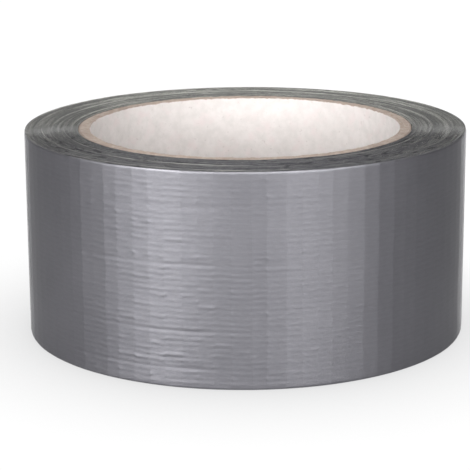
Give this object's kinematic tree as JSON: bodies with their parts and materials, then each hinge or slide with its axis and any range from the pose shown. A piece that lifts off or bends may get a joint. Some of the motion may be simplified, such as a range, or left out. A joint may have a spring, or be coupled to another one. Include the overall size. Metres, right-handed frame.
{
  "type": "duct tape roll",
  "caption": "Roll of silver cloth-backed duct tape wound in one spiral on a brown paperboard core, lying flat, with a free end that peels off the outside on hinged steps.",
  "frame": {"origin": "centre of the core's bore at the bottom face", "axes": "+Z along the roll's axis, up when it lies flat; +Y towards the side that the free end lies on"},
  "size_m": [0.1079, 0.108, 0.05],
  "materials": {
    "liner_paper": "smooth white liner paper",
    "core_board": "brown kraft paperboard",
    "wound_tape": "cut edges of film, cloth and adhesive",
    "tape_film": "silver-grey polyethylene film, satin, with the cloth showing through",
    "tape_scrim": "open cotton scrim",
    "tape_adhesive": "tacky grey natural-rubber adhesive"
  },
  "bodies": {
    "roll": {"core_liner": "liner_paper", "core_ply_1": "core_board", "core_ply_2": "core_board", "core_ply_3": "core_board", "core_ply_4": "core_board", "core_cover": "core_board", "tape_windings": "wound_tape", "lap_film": "tape_film", "lap_scrim": "tape_scrim", "lap_adhesive": "tape_adhesive"},
    "tail_1": {"tail_1_film": "tape_film", "tail_1_scrim": "tape_scrim", "tail_1_adhesive": "tape_adhesive"},
    "tail_2": {"tail_2_film": "tape_film", "tail_2_scrim": "tape_scrim", "tail_2_adhesive": "tape_adhesive"},
    "tail_3": {"tail_3_film": "tape_film", "tail_3_scrim": "tape_scrim", "tail_3_adhesive": "tape_adhesive"},
    "tail_4": {"tail_4_film": "tape_film", "tail_4_scrim": "tape_scrim", "tail_4_adhesive": "tape_adhesive"},
    "tail_5": {"tail_5_film": "tape_film", "tail_5_scrim": "tape_scrim", "tail_5_adhesive": "tape_adhesive"},
    "tail_6": {"tail_6_film": "tape_film", "tail_6_scrim": "tape_scrim", "tail_6_adhesive": "tape_adhesive"}
  },
  "joints": [
    {"name": "peel_front", "type": "hinge", "parent": "roll", "child": "tail_1", "pos_m": [0.03817, 0.03822, 0.025], "axis": [0, 0, -1], "range_deg": [0, 90]},
    {"name": "tail_bend_2", "type": "hinge", "parent": "tail_1", "child": "tail_2", "pos_m": [0.02697, 0.04681, 0.025], "axis": [0, 0, -1], "range_deg": [0, 40]},
    {"name": "tail_bend_3", "type": "hinge", "parent": "tail_2", "child": "tail_3", "pos_m": [0.01394, 0.05221, 0.025], "axis": [0, 0, -1], "range_deg": [0, 40]},
    {"name": "tail_bend_4", "type": "hinge", "parent": "tail_3", "child": "tail_4", "pos_m": [-0.00006, 0.05405, 0.025], "axis": [0, 0, -1], "range_deg": [0, 40]},
    {"name": "tail_bend_5", "type": "hinge", "parent": "tail_4", "child": "tail_5", "pos_m": [-0.01405, 0.05221, 0.025], "axis": [0, 0, -1], "range_deg": [0, 40]},
    {"name": "tail_bend_6", "type": "hinge", "parent": "tail_5", "child": "tail_6", "pos_m": [-0.02708, 0.04681, 0.025], "axis": [0, 0, -1], "range_deg": [0, 40]}
  ]
}
